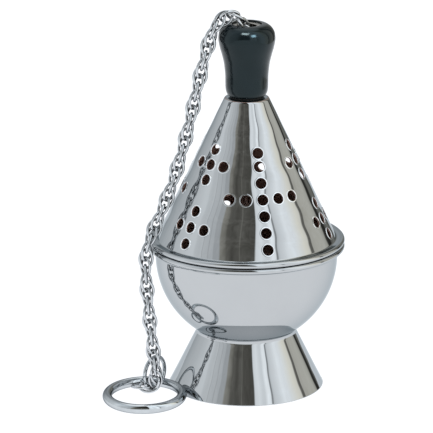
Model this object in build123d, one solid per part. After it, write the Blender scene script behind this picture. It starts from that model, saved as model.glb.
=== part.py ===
"""Single-chain thurible censer: a footed bowl, a pierced cone cover with a black knob, and one rope chain.

Millimetres, +Z up. The origin is the centre of the foot's resting edge, on the floor.
The chain comes out of the knob's top, falls over the left (-X) side of the rim and ends in a ring on the floor.
"""
from build123d import *
from math import atan, cos, degrees, radians, sin, sqrt, tan
import os

# ---- driving dimensions -------------------------------------------------------------------------
RIM_R = 53.2            # outside of both rolled rims
BEAD_R = 1.45           # section radius of a rolled rim
SHEET = 0.9             # spun sheet of the foot and bowl
COVER_SHEET = 0.8       # spun sheet of the cover
REST_GAP = 0.3          # play between pieces that only rest on each other

FOOT_R = 42.0           # foot, outside, at the floor
NECK_R = 26.4           # foot, outside, where it meets the bowl
BOWL_R = 49.3           # outside radius of the bowl's sphere
BOWL_Z = 73.2           # height of the sphere's centre
BOWL_FLOOR_Z = 25.0     # underside of the small flat at the bowl's bottom
RIM_Z = 78.45           # centre of the bowl's rolled rim
FLARE_R = 2.1           # outside radius of the flare between the wall and the rim

CONE_TOP_R = 11.8       # cover, outside, at the top edge
CONE_TOP_Z = 161.0
CONE_SLOPE = 0.471      # growth in radius per millimetre of drop
COVER_RIM_Z = RIM_Z + 2 * BEAD_R + REST_GAP
FLANGE_TOP_Z = COVER_RIM_Z + 1.3

HOLE_R = 3.0            # pierced holes
LATIN_PITCH = 9.0       # hole pitch down a large cross
LATIN_FIRST_PITCH = 7.3
LATIN_ARM_PITCH = 9.0
LATIN_TOP_Z = 135.7
LATIN_AZIMUTH = 14.0    # degrees from -Y towards +X
GREEK_CROSSES = ((128.4, 8.5), (96.5, 9.1))     # height and hole pitch of each small cross
GREEK_OFFSET = -59.5    # degrees from a large cross to the next small pair
REPEATS = 3             # the pattern is repeated round the cone

WASHER_T = 0.8
KNOB_TOP_Z = 201.2
TUBE_R = 6.1            # threaded tube that holds the knob on
TUBE_BORE_R = 5.2       # the chain runs through it

LINK_L = 11.8           # one chain link, outside
LINK_W = 8.3
LINK_WIRE_R = 0.75
LINK_PITCH = 4.3        # each link passes through the two before it
LINK_TWIST = 45.0       # degrees from one link to the next
CHAIN_R = LINK_W / 2    # envelope of the twisted chain

EYE_Z = 78.0            # centre of the eye on the bridge
EYE_R = 4.2             # centreline radius
EYE_WIRE_R = 1.2
SMALL_RING_R = 4.5
SMALL_RING_WIRE_R = 1.0

JUMP_R = 8.9            # centreline radius of the ring between chain and hand ring
JUMP_WIRE_R = 1.05
JUMP_POS = (-49.8, -14.5)
JUMP_TURN = 54.0        # degrees that the jump ring's plane is turned from XZ
HAND_R = 20.1           # centreline radius of the hand ring
HAND_WIRE_R = 2.6
HAND_POS = (-54.9, -33.9)
RING_GAP = 0.25         # between the hand ring and the jump ring's wire under it

# Outer chain: from inside the knob's tube, over the shoulder and the rim, down to the floor.
CHAIN_ROUTE = [
    (0.0, 0.0, 189.0),
    (0.0, 0.0, 206.4),
    (-17.5, -3.8, 206.2),
    (-22.8, -6.6, 184.0),
    (-27.6, -8.8, 162.0),
    (-33.8, -11.6, 136.0),
    (-41.2, -14.9, 111.5),
    (-49.7, -18.7, 93.0),
    (-55.4, -21.4, 79.0),
    (-54.2, -22.8, 60.0),
    (-52.0, -24.6, 40.0),
    (-49.6, -24.6, 20.0),
    (-49.3, -24.0, 3.0),
]


# ---- helpers ------------------------------------------------------------------------------------
def at(x, y=0.0, z=0.0):
    """A place, as a location to multiply a shape by."""
    return Location((x, y, z))


def turned(profile):
    """Solid of revolution about Z of a face drawn in the XZ plane."""
    return revolve(profile, Axis.Z, 360)


def outline(*edges):
    """Face in the XZ plane from a closed chain of edges whose X is a radius and Y a height."""
    return Plane.XZ * make_face(Curve() + list(edges))


def section(points, radii=None):
    """Face in the XZ plane from (radius, height) corners, with an optional fillet radius for each."""
    radii = radii or [0.0] * len(points)
    return Plane.XZ * make_face(FilletPolyline(*points, radius=radii, close=True))


def round_wire_ring(centre_r, wire_r):
    """Ring of round wire about Z."""
    return Torus(centre_r, wire_r)


def cylinder(radius, low, high):
    """Upright cylinder on the Z axis between two heights."""
    return at(0, 0, (low + high) / 2) * Cylinder(radius, high - low)


def hex_nut(across_flats, bore_r, low, high):
    """Upright hexagon nut on the Z axis."""
    corner_r = across_flats / 2 / cos(radians(30))
    nut = extrude(Plane.XY.offset(low) * RegularPolygon(corner_r, 6), high - low)
    crown = cylinder(corner_r, low, high)
    crown = chamfer(crown.edges().filter_by(GeomType.CIRCLE), (corner_r - across_flats / 2) * 0.9)
    return (nut & crown) - cylinder(bore_r, low, high)


def washer(outer_r, inner_r, low, high):
    """Flat washer on the Z axis."""
    return cylinder(outer_r, low, high) - cylinder(inner_r, low, high)


def around(shape, count):
    """Copies of a shape, evenly spaced about Z."""
    return [Rot(0, 0, 360 / count * step) * shape for step in range(count)]


def sphere_height(radius, r):
    """Height on the lower half of a sphere about the bowl's centre."""
    return BOWL_Z - sqrt(radius * radius - r * r)


def cone_radius(z):
    """Outside radius of the cover's cone."""
    return CONE_TOP_R + (CONE_TOP_Z - z) * CONE_SLOPE


# ---- foot and bowl ------------------------------------------------------------------------------
BOLT_R = 2.4
BOLT_HEAD_R = 4.6
BOLT_HEAD_H = 2.6
BOLT_WASHER_T = 0.8
BOLT_NUT_H = 3.6
SEAT_BOTTOM_Z = BOWL_FLOOR_Z - SHEET


def seat_radius(sphere_r, z):
    """Radius at a height on a sphere about the bowl's centre."""
    return sqrt(sphere_r * sphere_r - (BOWL_Z - z) ** 2)


def make_foot():
    """Straight flared foot whose top is dished to carry the bowl, with a bolt hole in the middle."""
    seat_r = BOWL_R + 0.02
    under_r = seat_r + SHEET
    neck_z = sphere_height(seat_r, NECK_R)
    slope = (FOOT_R - NECK_R) / neck_z
    wall = SHEET * sqrt(1 + slope ** 2)
    shoulder_r = NECK_R - 1.5
    shoulder_z = sphere_height(under_r, shoulder_r)
    top_flat_r = seat_radius(seat_r, BOWL_FLOOR_Z)
    low_flat_r = seat_radius(under_r, SEAT_BOTTOM_Z)
    profile = outline(
        Line((FOOT_R - wall, 0), (FOOT_R, 0)),
        Line((FOOT_R, 0), (NECK_R, neck_z)),
        RadiusArc((NECK_R, neck_z), (top_flat_r, BOWL_FLOOR_Z), seat_r),
        Line((top_flat_r, BOWL_FLOOR_Z), (BOLT_R, BOWL_FLOOR_Z)),
        Line((BOLT_R, BOWL_FLOOR_Z), (BOLT_R, SEAT_BOTTOM_Z)),
        Line((BOLT_R, SEAT_BOTTOM_Z), (low_flat_r, SEAT_BOTTOM_Z)),
        RadiusArc((low_flat_r, SEAT_BOTTOM_Z), (shoulder_r, shoulder_z), -under_r),
        Line((shoulder_r, shoulder_z), (FOOT_R - wall - slope * shoulder_z, shoulder_z)),
        Line((FOOT_R - wall - slope * shoulder_z, shoulder_z), (FOOT_R - wall, 0)),
    )
    return turned(profile)


def make_bowl():
    """Spun hemispherical bowl with a short collar that flares into a rolled rim."""
    inner_r = BOWL_R - SHEET
    bead_x = RIM_R - BEAD_R
    flare_x = BOWL_R + FLARE_R
    flange_z = RIM_Z - 1.1
    flare_z = flange_z - FLARE_R
    floor_z = BOWL_FLOOR_Z + SHEET
    out_flat = seat_radius(BOWL_R, BOWL_FLOOR_Z)
    in_flat = seat_radius(inner_r, floor_z)
    out_45 = (flare_x - FLARE_R * cos(radians(45)), flare_z + FLARE_R * sin(radians(45)))
    in_flare = FLARE_R + SHEET
    in_45 = (flare_x - in_flare * cos(radians(45)), flare_z + in_flare * sin(radians(45)))
    profile = outline(
        Line((BOLT_R, BOWL_FLOOR_Z), (out_flat, BOWL_FLOOR_Z)),
        RadiusArc((out_flat, BOWL_FLOOR_Z), (BOWL_R, BOWL_Z), -BOWL_R),
        Line((BOWL_R, BOWL_Z), (BOWL_R, flare_z)),
        ThreePointArc((BOWL_R, flare_z), out_45, (flare_x, flange_z)),
        Line((flare_x, flange_z), (bead_x, flange_z)),
        Line((bead_x, flange_z), (bead_x, flange_z + SHEET)),
        Line((bead_x, flange_z + SHEET), (flare_x, flange_z + SHEET)),
        ThreePointArc((flare_x, flange_z + SHEET), in_45, (inner_r, flare_z)),
        Line((inner_r, flare_z), (inner_r, BOWL_Z)),
        RadiusArc((inner_r, BOWL_Z), (in_flat, floor_z), inner_r),
        Line((in_flat, floor_z), (BOLT_R, floor_z)),
        Line((BOLT_R, floor_z), (BOLT_R, BOWL_FLOOR_Z)),
    )
    rim = at(0, 0, RIM_Z) * round_wire_ring(bead_x, BEAD_R)
    return turned(profile) + rim


def make_foot_bolt():
    """Round-headed bolt from inside the bowl, through its floor and the foot's seat."""
    floor_z = BOWL_FLOOR_Z + SHEET
    end_z = SEAT_BOTTOM_Z - BOLT_WASHER_T - BOLT_NUT_H - 1.6
    head = cylinder(BOLT_HEAD_R, floor_z, floor_z + BOLT_HEAD_H)
    head = fillet(head.edges().filter_by(GeomType.CIRCLE).sort_by(Axis.Z)[-1], BOLT_HEAD_H * 0.8)
    shank = cylinder(BOLT_R, end_z, floor_z)
    slot = at(0, 0, floor_z + BOLT_HEAD_H) * Box(BOLT_HEAD_R * 2, 1.0, 2.0)
    return head + shank - slot


def make_foot_washer():
    """Washer under the foot's seat."""
    return washer(6.0, BOLT_R, SEAT_BOTTOM_Z - BOLT_WASHER_T, SEAT_BOTTOM_Z)


def make_foot_nut():
    """Hexagon nut that clamps the bowl to its foot."""
    high = SEAT_BOTTOM_Z - BOLT_WASHER_T
    return hex_nut(8.0, BOLT_R, high - BOLT_NUT_H, high)


# ---- bridge, eye and inner chain ----------------------------------------------------------------
BRIDGE_T = 1.5
BRIDGE_W = 12.0
BRIDGE_TOP_Z = 71.5
BRIDGE_TAB_Z = 60.0
EYE_SHANK_R = 2.0


def make_bridge():
    """Strap across the bowl whose ends turn down and are spot-welded to the wall."""
    wall_r = BOWL_R - SHEET
    strap_r = wall_r - BRIDGE_T
    low_out = (seat_radius(wall_r, BRIDGE_TAB_Z), BRIDGE_TAB_Z)
    low_in = (seat_radius(strap_r, BRIDGE_TAB_Z), BRIDGE_TAB_Z)
    top_out = (seat_radius(wall_r, BRIDGE_TOP_Z), BRIDGE_TOP_Z)
    under_z = BRIDGE_TOP_Z - BRIDGE_T
    top_in = (seat_radius(strap_r, under_z), under_z)
    profile = outline(
        Line((EYE_SHANK_R, under_z), top_in),
        RadiusArc(top_in, low_in, strap_r),
        Line(low_in, low_out),
        RadiusArc(low_out, top_out, -wall_r),
        Line(top_out, (EYE_SHANK_R, BRIDGE_TOP_Z)),
        Line((EYE_SHANK_R, BRIDGE_TOP_Z), (EYE_SHANK_R, under_z)),
    )
    strap = at(0, 0, BOWL_Z) * Box(2 * BOWL_R, BRIDGE_W, BOWL_R)
    return turned(profile) & strap


def make_eye_bolt():
    """Eye with a shoulder on the bridge and a threaded shank below it."""
    shoulder_t = 1.0
    ring = at(0, 0, EYE_Z) * Rot(90, 0, 0) * round_wire_ring(EYE_R, EYE_WIRE_R)
    shoulder = cylinder(3.6, BRIDGE_TOP_Z, BRIDGE_TOP_Z + shoulder_t)
    neck = cylinder(EYE_SHANK_R, BRIDGE_TOP_Z + shoulder_t, EYE_Z - EYE_R)
    shank = cylinder(EYE_SHANK_R, 65.4, BRIDGE_TOP_Z)
    return ring + shoulder + neck + shank


def make_eye_nut():
    """Nut under the bridge."""
    high = BRIDGE_TOP_Z - BRIDGE_T
    return hex_nut(7.0, EYE_SHANK_R, high - 3.2, high)


WIRE_PLAY = 0.2
SMALL_RING_Z = EYE_Z + EYE_R - EYE_WIRE_R - SMALL_RING_WIRE_R - WIRE_PLAY + SMALL_RING_R


def make_small_ring():
    """Ring that joins the eye to the first link."""
    return at(0, 0, SMALL_RING_Z) * Rot(0, 90, 0) * round_wire_ring(SMALL_RING_R, SMALL_RING_WIRE_R)


def oval_link():
    """One link: four arcs of round wire about Y, long in Z."""
    half_l = LINK_L / 2 - LINK_WIRE_R
    half_w = LINK_W / 2 - LINK_WIRE_R
    end_r = 2.3
    side_r = (half_l ** 2 + half_w ** 2 - 2 * half_l * end_r) / (2 * (half_w - end_r))
    lean = atan((half_l - end_r) / (side_r - half_w))
    join_x = end_r * cos(lean)
    join_z = half_l - end_r + end_r * sin(lean)
    path = Curve() + [
        ThreePointArc((join_x, -join_z), (half_w, 0), (join_x, join_z)),
        ThreePointArc((join_x, join_z), (0, half_l), (-join_x, join_z)),
        ThreePointArc((-join_x, join_z), (-half_w, 0), (-join_x, -join_z)),
        ThreePointArc((-join_x, -join_z), (0, -half_l), (join_x, -join_z)),
    ]
    wire = Plane.XZ * path
    loop = Wire(wire.edges())
    first = Plane(origin=loop @ 0, z_dir=loop % 0)
    return sweep(first * Circle(LINK_WIRE_R), path=loop)


def make_inner_chain():
    """Straight rope chain from the small ring up into the knob's tube."""
    half_l = LINK_L / 2 - LINK_WIRE_R
    grip_z = SMALL_RING_Z + SMALL_RING_R - SMALL_RING_WIRE_R - LINK_WIRE_R - WIRE_PLAY
    first_z = grip_z + half_l
    top_z = CHAIN_ROUTE[0][2] - 1.0
    count = int((top_z - LINK_L / 2 - first_z) / LINK_PITCH) + 1
    link = oval_link()
    return [at(0, 0, first_z + step * LINK_PITCH) * Rot(0, 0, LINK_TWIST * step) * link
            for step in range(count)]


# ---- charcoal pan -------------------------------------------------------------------------------
PAN_FLOOR_Z = 42.0
PAN_R = 34.0
PAN_H = 13.0
PAN_LEG_R = 22.0
PAN_RIVET_AT = 17.5
PAN_RIVET_R = 1.5
PAN_LEG_T = 1.0


def make_charcoal_pan():
    """Shallow dish with a rolled edge, punched for its leg rivets."""
    floor_r = PAN_R - 7.0
    profile = section(
        [(0, PAN_FLOOR_Z), (floor_r, PAN_FLOOR_Z), (PAN_R, PAN_FLOOR_Z + PAN_H),
         (PAN_R - COVER_SHEET, PAN_FLOOR_Z + PAN_H), (floor_r - 0.5, PAN_FLOOR_Z + COVER_SHEET),
         (0, PAN_FLOOR_Z + COVER_SHEET)],
        [0, 4.0, 0, 0, 3.2, 0],
    )
    edge = at(0, 0, PAN_FLOOR_Z + PAN_H) * round_wire_ring(PAN_R - COVER_SHEET / 2, 1.0)
    hole = at(PAN_RIVET_AT, 0, PAN_FLOOR_Z) * Cylinder(PAN_RIVET_R, 4)
    return turned(profile) + edge - around(hole, REPEATS)


def make_pan_legs():
    """Three bent strips that stand the pan off the bowl's floor."""
    foot_z = sphere_height(BOWL_R - SHEET, PAN_LEG_R) + 0.6
    inner = PAN_LEG_R - 8.0
    strip = section(
        [(inner, PAN_FLOOR_Z), (PAN_LEG_R, PAN_FLOOR_Z), (PAN_LEG_R, foot_z), (inner, foot_z),
         (inner, foot_z + PAN_LEG_T), (PAN_LEG_R - PAN_LEG_T, foot_z + PAN_LEG_T),
         (PAN_LEG_R - PAN_LEG_T, PAN_FLOOR_Z - PAN_LEG_T), (inner, PAN_FLOOR_Z - PAN_LEG_T)],
    )
    leg = extrude(strip, 4.0, both=True)
    hole = at(PAN_RIVET_AT, 0, PAN_FLOOR_Z) * Cylinder(PAN_RIVET_R, 4)
    return around(leg - hole, REPEATS)


def make_pan_rivets():
    """One round-headed rivet for each leg."""
    top_z = PAN_FLOOR_Z + COVER_SHEET
    low_z = PAN_FLOOR_Z - PAN_LEG_T
    shank = cylinder(PAN_RIVET_R, low_z, top_z)
    upper = cylinder(2.6, top_z, top_z + 1.0)
    lower = cylinder(2.6, low_z - 0.8, low_z)
    upper = fillet(upper.edges().filter_by(GeomType.CIRCLE).sort_by(Axis.Z)[-1], 0.8)
    return around(at(PAN_RIVET_AT) * (upper + shank + lower), REPEATS)


# ---- cover --------------------------------------------------------------------------------------
def pierced_hole(azimuth, z):
    """Drill through the cone's wall, square to its surface; azimuth is in degrees from -Y towards +X."""
    lean = atan(CONE_SLOPE)
    r = cone_radius(z)
    drill = at(0, -r, z) * Rot(90 - degrees(lean), 0, 0) * Cylinder(HOLE_R, 6.0)
    return Rot(0, 0, azimuth) * drill


def latin_cross_holes(azimuth):
    """Seven holes down the cone, and two on each side of the fourth."""
    drop = cos(atan(CONE_SLOPE))
    heights = [LATIN_TOP_Z]
    for step in range(6):
        pitch = LATIN_PITCH if step else LATIN_FIRST_PITCH
        heights.append(heights[-1] - pitch * drop)
    arm_z = heights[3]
    turn = degrees(LATIN_ARM_PITCH / cone_radius(arm_z))
    holes = [pierced_hole(azimuth, z) for z in heights]
    holes += [pierced_hole(azimuth + turn * step, arm_z) for step in (-2, -1, 1, 2)]
    return holes


def greek_cross_holes(azimuth, z, pitch):
    """Small cross of five holes."""
    rise = pitch * cos(atan(CONE_SLOPE))
    turn = degrees(pitch / cone_radius(z))
    return [pierced_hole(azimuth, z), pierced_hole(azimuth, z + rise), pierced_hole(azimuth, z - rise),
            pierced_hole(azimuth - turn, z), pierced_hole(azimuth + turn, z)]


def cross_holes():
    """Every hole of the cover: large crosses with pairs of small ones between them."""
    holes = []
    for step in range(REPEATS):
        azimuth = LATIN_AZIMUTH + 360 / REPEATS * step
        holes += latin_cross_holes(azimuth)
        for z, pitch in GREEK_CROSSES:
            holes += greek_cross_holes(azimuth + GREEK_OFFSET, z, pitch)
    return holes


def make_cover():
    """Spun cone with a flat top for the knob, a narrow flange and a rolled rim, pierced with crosses."""
    wall = COVER_SHEET * sqrt(1 + CONE_SLOPE ** 2)
    bead_x = RIM_R - BEAD_R
    inner_top_z = CONE_TOP_Z - COVER_SHEET
    flange_low_z = FLANGE_TOP_Z - COVER_SHEET
    profile = section(
        [(TUBE_R, CONE_TOP_Z), (CONE_TOP_R, CONE_TOP_Z), (cone_radius(FLANGE_TOP_Z), FLANGE_TOP_Z),
         (bead_x, FLANGE_TOP_Z), (bead_x, flange_low_z),
         (cone_radius(flange_low_z) - wall, flange_low_z),
         (cone_radius(inner_top_z) - wall, inner_top_z), (TUBE_R, inner_top_z)],
        [0, 2.0, 0.8, 0, 0, 0, 1.2, 0],
    )
    rim = at(0, 0, COVER_RIM_Z) * round_wire_ring(bead_x, BEAD_R)
    return turned(profile) + rim - cross_holes()


def make_cover_collar():
    """Ring brazed inside the cone's foot; it centres the cover in the bowl's mouth."""
    wall = COVER_SHEET * sqrt(1 + CONE_SLOPE ** 2)
    outer_r = BOWL_R - SHEET - 0.4
    inner_r = outer_r - COVER_SHEET
    low_z = BRIDGE_TOP_Z + 1.2
    outer_z = CONE_TOP_Z - (outer_r + wall - CONE_TOP_R) / CONE_SLOPE
    inner_z = CONE_TOP_Z - (inner_r + wall - CONE_TOP_R) / CONE_SLOPE
    return turned(section([(inner_r, low_z), (outer_r, low_z), (outer_r, outer_z), (inner_r, inner_z)]))


# ---- knob ---------------------------------------------------------------------------------------
def make_knob():
    """Turned black knob: a waisted stem that swells to a rounded head, bored for its tube."""
    low_z = CONE_TOP_Z + WASHER_T
    base_r = 9.3
    crown_r = 8.8
    flange_z = KNOB_TOP_Z - 1.8
    side = Spline((base_r, low_z), (11.0, low_z + 2.6), (11.45, low_z + 11.0), (12.55, low_z + 20.0),
                  (14.9, low_z + 31.2), (13.1, KNOB_TOP_Z - 1.9), (crown_r, KNOB_TOP_Z),
                  tangents=((1.0, 0.35), (-1.0, 0.08)))
    profile = outline(
        Line((TUBE_R, low_z), (base_r, low_z)),
        side,
        Line((crown_r, KNOB_TOP_Z), (8.0, KNOB_TOP_Z)),
        Line((8.0, KNOB_TOP_Z), (8.0, flange_z)),
        Line((8.0, flange_z), (TUBE_R, flange_z)),
        Line((TUBE_R, flange_z), (TUBE_R, low_z)),
    )
    return turned(profile)


def make_knob_tube():
    """Threaded tube with a top flange; it clamps the knob to the cover and guides the chain."""
    flange_z = KNOB_TOP_Z - 1.8
    profile = section(
        [(TUBE_BORE_R, 154.0), (TUBE_R, 154.0), (TUBE_R, flange_z), (7.8, flange_z),
         (7.8, flange_z + 1.0), (TUBE_BORE_R, flange_z + 1.0)],
        [0, 0, 0, 0, 0.4, 0.6],
    )
    return turned(profile)


def make_knob_washer():
    """Fibre washer between the cone's top and the knob."""
    return washer(8.6, TUBE_R, CONE_TOP_Z, CONE_TOP_Z + WASHER_T)


def make_knob_nut():
    """Hexagon nut inside the cone's top."""
    high = CONE_TOP_Z - COVER_SHEET
    return hex_nut(15.0, TUBE_R, high - 3.6, high)


# ---- outer chain and rings ----------------------------------------------------------------------
def route_radii():
    """Bend radius at each inner point of the chain's route: as large as the two runs allow."""
    points = [Vector(*point) for point in CHAIN_ROUTE]
    radii = []
    for before, here, after in zip(points, points[1:], points[2:]):
        arriving = here - before
        leaving = after - here
        half_turn = radians(arriving.get_angle(leaving)) / 2
        radii.append(0.45 * min(arriving.length, leaving.length) / tan(half_turn))
    return radii


def make_outer_chain():
    """Envelope of the free chain: a round tube along straight runs joined by tangent arcs."""
    radii = route_radii()
    path = FilletPolyline(*CHAIN_ROUTE, radius=radii)
    start = Plane(origin=CHAIN_ROUTE[0], z_dir=path % 0)
    tube = sweep(start * Circle(CHAIN_R), path=path)
    print("chain bend radii", [round(radius, 1) for radius in radii])
    print("chain length", round(path.length, 1), "tube volume", round(tube.volume, 1),
          "section times length", round(Circle(CHAIN_R).area * path.length, 1))
    return tube


def make_jump_ring():
    """Small ring that stands on edge; the chain's end and the hand ring hang on it."""
    centre_z = JUMP_R + JUMP_WIRE_R
    ring = Rot(0, 0, JUMP_TURN) * Rot(90, 0, 0) * round_wire_ring(JUMP_R, JUMP_WIRE_R)
    return at(JUMP_POS[0], JUMP_POS[1], centre_z) * ring


def make_hand_ring():
    """Large ring lying on the floor, its back edge raised by the jump ring's wire under it."""
    back_z = 2 * JUMP_WIRE_R + HAND_WIRE_R + RING_GAP
    heading = -degrees(atan((JUMP_POS[0] - HAND_POS[0]) / (JUMP_POS[1] - HAND_POS[1])))
    tilt = degrees(atan((back_z - HAND_WIRE_R) / (2 * HAND_R)))
    centre_z = HAND_WIRE_R + HAND_R * sin(radians(tilt))
    ring = Rot(0, 0, heading) * Rot(tilt, 0, 0) * round_wire_ring(HAND_R, HAND_WIRE_R)
    return at(HAND_POS[0], HAND_POS[1], centre_z) * ring


# ---- write every sub-part -----------------------------------------------------------------------
PARTS = {
    "foot": make_foot,
    "bowl": make_bowl,
    "foot_bolt": make_foot_bolt,
    "foot_washer": make_foot_washer,
    "foot_nut": make_foot_nut,
    "bridge": make_bridge,
    "eye_bolt": make_eye_bolt,
    "eye_nut": make_eye_nut,
    "small_ring": make_small_ring,
    "inner_chain": make_inner_chain,
    "charcoal_pan": make_charcoal_pan,
    "pan_legs": make_pan_legs,
    "pan_rivets": make_pan_rivets,
    "cover": make_cover,
    "cover_collar": make_cover_collar,
    "knob": make_knob,
    "knob_tube": make_knob_tube,
    "knob_washer": make_knob_washer,
    "knob_nut": make_knob_nut,
    "outer_chain": make_outer_chain,
    "jump_ring": make_jump_ring,
    "hand_ring": make_hand_ring,
}

os.makedirs("parts", exist_ok=True)
for name, make in PARTS.items():
    made = make()
    solids = made if isinstance(made, list) else [made]
    flat = [solid for piece in solids for solid in piece.solids()]
    shape = flat[0] if len(flat) == 1 else Compound(flat)
    export_step(shape, f"parts/{name}.step")
    print(name, len(flat), "solids", round(sum(solid.volume for solid in flat), 1), "mm3")
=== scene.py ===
"""Looks of the single-chain thurible censer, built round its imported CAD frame. Metres, +Z up."""
import math

import bpy
from mathutils import Matrix, Vector


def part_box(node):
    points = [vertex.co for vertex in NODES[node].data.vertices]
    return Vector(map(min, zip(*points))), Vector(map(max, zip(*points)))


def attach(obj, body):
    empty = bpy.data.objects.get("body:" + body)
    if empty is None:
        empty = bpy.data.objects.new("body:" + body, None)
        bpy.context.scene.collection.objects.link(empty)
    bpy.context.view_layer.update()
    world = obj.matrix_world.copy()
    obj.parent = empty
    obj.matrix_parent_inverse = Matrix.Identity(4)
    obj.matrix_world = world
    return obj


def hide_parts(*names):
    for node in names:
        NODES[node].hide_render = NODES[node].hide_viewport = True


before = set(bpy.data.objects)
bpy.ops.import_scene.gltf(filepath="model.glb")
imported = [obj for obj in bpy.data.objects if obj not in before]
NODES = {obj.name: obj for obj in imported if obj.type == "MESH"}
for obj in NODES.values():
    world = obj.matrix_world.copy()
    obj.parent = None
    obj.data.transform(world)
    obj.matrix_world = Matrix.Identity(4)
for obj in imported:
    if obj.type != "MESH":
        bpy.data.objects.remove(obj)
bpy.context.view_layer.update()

MM = 0.001


# ---- camera -------------------------------------------------------------------------------------
VIEW_DISTANCE = 2.2
VIEW_ELEVATION = math.radians(16.3)
VIEW_CENTRE = Vector((-16.2 * MM, 0.0, 94.0 * MM))
VIEW_LENS = 338.5


def add_camera():
    """Long lens in front of the censer, a little above it."""
    camera = bpy.data.objects.new("camera", bpy.data.cameras.new("camera"))
    bpy.context.scene.collection.objects.link(camera)
    back = Vector((0.0, -math.cos(VIEW_ELEVATION), math.sin(VIEW_ELEVATION)))
    camera.location = VIEW_CENTRE + back * VIEW_DISTANCE
    camera.rotation_euler = (-back).to_track_quat("-Z", "Y").to_euler()
    camera.data.sensor_width = 36.0
    camera.data.lens = VIEW_LENS
    camera.data.clip_end = 50.0
    bpy.context.scene.camera = camera


# ---- node helpers -------------------------------------------------------------------------------
class Graph:
    """A node tree, with short calls for the nodes that the materials and the studio use."""

    def __init__(self, tree, coordinates):
        self.tree = tree
        self.place = self.node("ShaderNodeTexCoord").outputs[coordinates]

    def node(self, kind, **settings):
        """New node, with some of its settings changed."""
        made = self.tree.nodes.new(kind)
        for name, value in settings.items():
            setattr(made, name, value)
        return made

    def plug(self, item, socket):
        """Gives an input a constant, or links it to another node's output."""
        if isinstance(item, (int, float, tuple)):
            socket.default_value = item
        else:
            self.tree.links.new(item, socket)

    def value(self, operation, first, second=0.0):
        """Math node; each input is a number or a socket."""
        made = self.node("ShaderNodeMath", operation=operation)
        self.plug(first, made.inputs[0])
        self.plug(second, made.inputs[1])
        return made.outputs[0]

    def mix(self, factor, first, second):
        """Blend of two colours."""
        made = self.node("ShaderNodeMix", data_type="RGBA")
        self.plug(factor, made.inputs["Factor"])
        self.plug(first, made.inputs["A"])
        self.plug(second, made.inputs["B"])
        return made.outputs["Result"]

    def noise(self, scale, detail=2.0, roughness=0.5, stretch=(1.0, 1.0, 1.0)):
        """Noise over the tree's coordinates; scale is in cycles per metre on an object."""
        mapping = self.node("ShaderNodeMapping")
        self.plug(stretch, mapping.inputs["Scale"])
        self.plug(self.place, mapping.inputs["Vector"])
        texture = self.node("ShaderNodeTexNoise")
        self.plug(scale, texture.inputs["Scale"])
        self.plug(detail, texture.inputs["Detail"])
        self.plug(roughness, texture.inputs["Roughness"])
        self.plug(mapping.outputs[0], texture.inputs["Vector"])
        return texture.outputs["Fac"]

    def ramp(self, factor, stops):
        """Colour ramp from (position, colour) pairs."""
        made = self.node("ShaderNodeValToRGB")
        elements = made.color_ramp.elements
        while len(elements) < len(stops):
            elements.new(0.5)
        for element, (position, colour) in zip(elements, stops):
            element.position = position
            element.color = (*colour, 1.0)
        self.plug(factor, made.inputs["Fac"])
        return made.outputs["Color"]

    def span(self, factor, low, high, out_low=0.0, out_high=1.0, course="LINEAR"):
        """Map range, clamped; its course is LINEAR or SMOOTHSTEP."""
        made = self.node("ShaderNodeMapRange", interpolation_type=course)
        for name, value in (("From Min", low), ("From Max", high), ("To Min", out_low), ("To Max", out_high)):
            self.plug(value, made.inputs[name])
        self.plug(factor, made.inputs["Value"])
        return made.outputs["Result"]


class Shader(Graph):
    """A material: one principled shader, fed by the nodes of its graph."""

    def __init__(self, name, **values):
        self.material = bpy.data.materials.new(name)
        self.material.use_nodes = True
        super().__init__(self.material.node_tree, "Object")
        self.bsdf = self.tree.nodes["Principled BSDF"]
        for socket, value in values.items():
            self.plug(value, self.bsdf.inputs[socket.replace("_", " ")])

    def finished(self, colour, roughness, *layers):
        """The material with its colour, its roughness and bumps from (height, strength, distance) layers."""
        self.plug(colour, self.bsdf.inputs["Base Color"])
        self.plug(roughness, self.bsdf.inputs["Roughness"])
        normal = None
        for height, strength, distance in layers:
            bump = self.node("ShaderNodeBump")
            self.plug(height, bump.inputs["Height"])
            self.plug(strength, bump.inputs["Strength"])
            self.plug(distance, bump.inputs["Distance"])
            if normal is not None:
                self.plug(normal, bump.inputs["Normal"])
            normal = bump.outputs["Normal"]
        self.plug(normal, self.bsdf.inputs["Normal"])
        return self.material


# ---- materials ----------------------------------------------------------------------------------
# Plated metal reflects a little less just before grazing than a plain Schlick curve gives.
EDGE_TINT = (0.62, 0.66, 0.68, 1.0)
WIRE_EDGE_TINT = (0.30, 0.31, 0.32, 1.0)
# Colour of the painted shade that darkens the crevices between chain links.
CREVICE_SHADE = (0.03, 0.028, 0.026, 1.0)


def shade(colour, factor):
    """The colour made darker by a factor."""
    return tuple(part * factor for part in colour)


def spun_polish(name, colour, waviness):
    """Mirror-polished spun metal: slow waves left by the spinning tool, fine turning lines, a few smears."""
    shader = Shader(name, Metallic=1.0, Specular_Tint=EDGE_TINT)
    smear = shader.noise(38.0, 3.0, 0.55)
    lines = shader.noise(1.0, 2.0, 0.5, stretch=(60.0, 60.0, 5200.0))
    waves = shader.noise(1.0, 1.0, 0.4, stretch=(18.0, 18.0, 46.0))
    tint = shader.ramp(smear, [(0.3, shade(colour, 0.96)), (0.7, colour)])
    rough = shader.value("ADD", shader.span(smear, 0.45, 0.75, 0.005, 0.022),
                         shader.span(lines, 0.55, 0.8, 0.0, 0.015))
    return shader.finished(tint, rough, (waves, 1.0, waviness), (lines, 0.1, 0.000002))


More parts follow.
